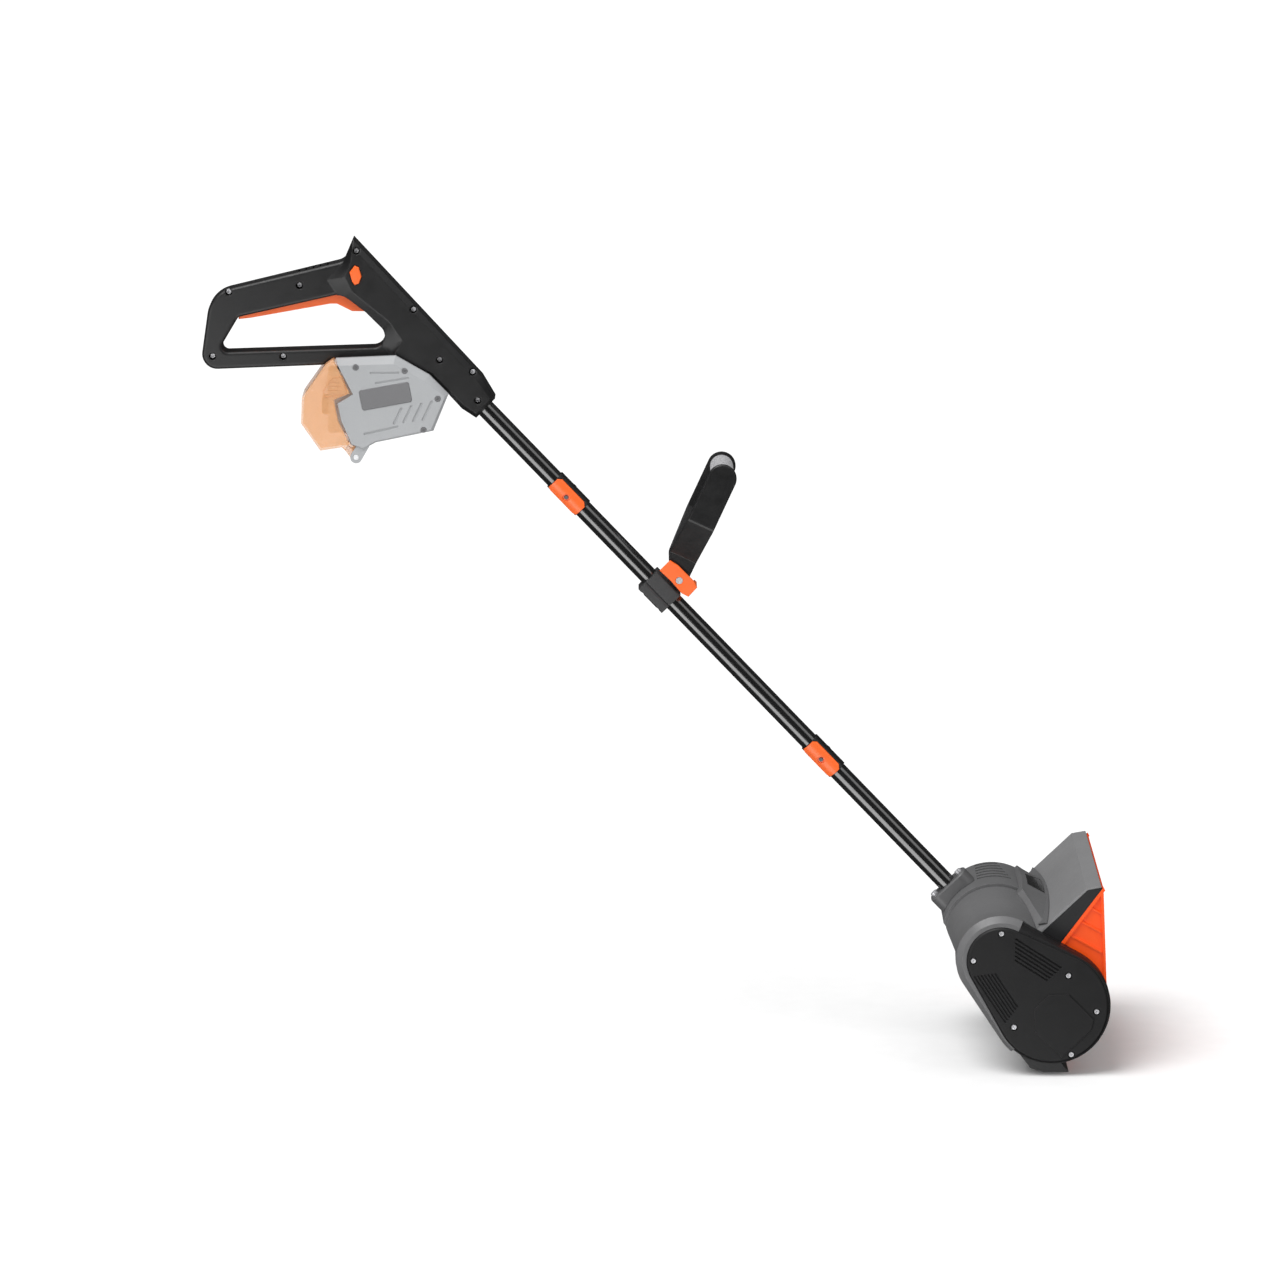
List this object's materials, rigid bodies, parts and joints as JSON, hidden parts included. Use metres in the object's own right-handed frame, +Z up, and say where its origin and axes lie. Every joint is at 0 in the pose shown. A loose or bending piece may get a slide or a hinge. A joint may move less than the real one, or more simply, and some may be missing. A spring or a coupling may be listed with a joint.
{
  "type": "single stage snowblower",
  "caption": "Battery snow shovel: belt driven rotor in a narrow scoop, sloping tubular shaft, sliding D-shaped front handle, closed rear hand loop with trigger, and hooded battery bay.",
  "frame": {"origin": "on the ground under the rotor axis, at the middle of the clearing width, on the scraper bar's flat underside", "axes": "+X is the direction of travel, +Z is up, +Y points away from the belt cover's side; the shaft slopes up and back at its working tilt"},
  "size_m": [1.0795, 0.3372, 0.9825],
  "materials": {
    "orange_plastic": "satin moulded orange plastic",
    "grey_plastic": "satin mid grey moulded plastic",
    "dark_grey_plastic": "satin dark grey moulded plastic",
    "black_plastic": "satin near-black moulded plastic with a fine grain",
    "scraper_black": "matte black wear bar, lightly scuffed",
    "black_tube": "gloss black powder coat on aluminium tube",
    "silver_steel": "bright zinc plated steel",
    "bearing_steel": "machined steel",
    "pulley_alloy": "machined alloy",
    "rotor_plastic": "black glass filled plastic",
    "paddle_rubber": "matte black rubber",
    "belt_rubber": "matte black belt rubber",
    "cable_rubber": "black cable sheath",
    "speckled_grip": "light grey sleeve with dark specks",
    "switch_plastic": "dark switch plastic",
    "board_green": "green circuit board",
    "pale_grey_plastic": "satin pale grey moulded plastic",
    "plate_grey": "satin mid grey plate",
    "pack_plastic": "pale warm grey battery case",
    "button_brown": "brownish grey button",
    "hood_amber": "translucent pale orange moulded plastic"
  },
  "bodies": {
    "frame": {"scoop": "orange_plastic", "coupling_inserts": "orange_plastic", "motor_housing_neck": "grey_plastic", "motor_housing_barrel": "grey_plastic", "saddle_cover": "grey_plastic", "deflector": "grey_plastic", "socket_collar": "dark_grey_plastic", "scoop_back": "black_plastic", "belt_case": "black_plastic", "belt_cover": "black_plastic", "side_cap": "black_plastic", "coupling_sleeves": "black_plastic", "handle_shell_near": "black_plastic", "handle_shell_far": "black_plastic", "label_plate": "black_plastic", "scraper": "scraper_black", "lower_tube": "black_tube", "middle_tube": "black_tube", "upper_tube": "black_tube", "joint_sleeves": "black_tube", "scraper_screws": "silver_steel", "cover_screws": "silver_steel", "motor_screws": "silver_steel", "socket_bolts": "silver_steel", "coupling_bolts": "silver_steel", "handle_screws": "silver_steel", "trigger_pin": "silver_steel", "trigger_spring": "silver_steel", "hood_pin": "silver_steel", "rotor_bearings": "bearing_steel", "motor_can": "bearing_steel", "belt": "belt_rubber", "power_cable": "cable_rubber", "switch_body": "switch_plastic", "controller_board": "board_green", "bay_shell_near": "pale_grey_plastic", "bay_shell_far": "pale_grey_plastic", "name_plate": "plate_grey", "bay_screws": "plate_grey", "battery_pack": "pack_plastic", "release_button": "button_brown"},
    "front_clamp": {"clamp_lower": "black_plastic", "clamp_upper": "black_plastic", "clamp_screws": "silver_steel", "handle_pivot_bolt": "silver_steel"},
    "front_loop": {"front_handle": "black_plastic", "front_grip_sleeve": "speckled_grip"},
    "lock_lever": {"lock_lever": "orange_plastic"},
    "rotor": {"rotor_shaft": "silver_steel", "rotor_hub": "rotor_plastic", "rubber_paddles": "paddle_rubber", "rotor_pulley": "pulley_alloy"},
    "motor_rotor": {"motor_armature": "bearing_steel", "motor_pulley": "pulley_alloy"},
    "trigger": {"trigger": "orange_plastic"},
    "switch_plunger": {"switch_plunger": "switch_plastic"},
    "lock_button": {"lock_button": "orange_plastic"},
    "hood": {"hood": "hood_amber"},
    "hood_latch_near": {"hood_latch_near": "hood_amber"},
    "hood_latch_far": {"hood_latch_far": "hood_amber"}
  },
  "joints": [
    {"name": "rotor_spin", "type": "hinge", "parent": "frame", "child": "rotor", "pos_m": [0, 0, 0.085], "axis": [0, 1, 0], "continuous": true},
    {"name": "motor_spin", "type": "hinge", "parent": "frame", "child": "motor_rotor", "pos_m": [-0.069, 0, 0.1489], "axis": [0, 1, 0], "continuous": true},
    {"name": "front_handle_slide", "type": "slide", "parent": "frame", "child": "front_clamp", "axis": [-0.6909, 0, 0.723], "range_m": [-0.2, 0.105]},
    {"name": "front_handle_tilt", "type": "hinge", "parent": "front_clamp", "child": "front_loop", "pos_m": [-0.44216, 0, 0.57203], "axis": [0, -1, 0], "range_deg": [-20, 30]},
    {"name": "lock_lever_turn", "type": "hinge", "parent": "front_clamp", "child": "lock_lever", "pos_m": [-0.44216, 0, 0.57203], "axis": [0, -1, 0], "range_deg": [0, 25]},
    {"name": "trigger_pull", "type": "hinge", "parent": "frame", "child": "trigger", "pos_m": [-0.958, 0, 0.898], "axis": [0, -1, 0], "range_deg": [0, 3], "stiffness_Nm_per_rad": 2, "springref_deg": -1.72},
    {"name": "switch_press", "type": "slide", "parent": "frame", "child": "switch_plunger", "axis": [-0.2369, 0, 0.9715], "range_m": [0, 0.0055]},
    {"name": "lock_off_press", "type": "slide", "parent": "frame", "child": "lock_button", "axis": [0, 1, 0], "range_m": [0, 0.003], "stiffness_N_per_m": 400, "springref_m": -0.001},
    {"name": "hood_open", "type": "hinge", "parent": "frame", "child": "hood", "pos_m": [-0.8265, 0, 0.7237], "axis": [0, -1, 0], "range_deg": [0, 100]},
    {"name": "hood_latch_near_press", "type": "slide", "parent": "hood", "child": "hood_latch_near", "axis": [0, 1, 0], "range_m": [0, 0.002], "stiffness_N_per_m": 500, "springref_m": -0.001},
    {"name": "hood_latch_far_press", "type": "slide", "parent": "hood", "child": "hood_latch_far", "axis": [0, -1, 0], "range_m": [0, 0.002], "stiffness_N_per_m": 500, "springref_m": -0.001}
  ],
  "couplings": [
    {"joint": "motor_spin", "follows": "rotor_spin", "ratio": 3},
    {"joint": "switch_press", "follows": "trigger_pull", "m_per_rad": 0.101}
  ]
}
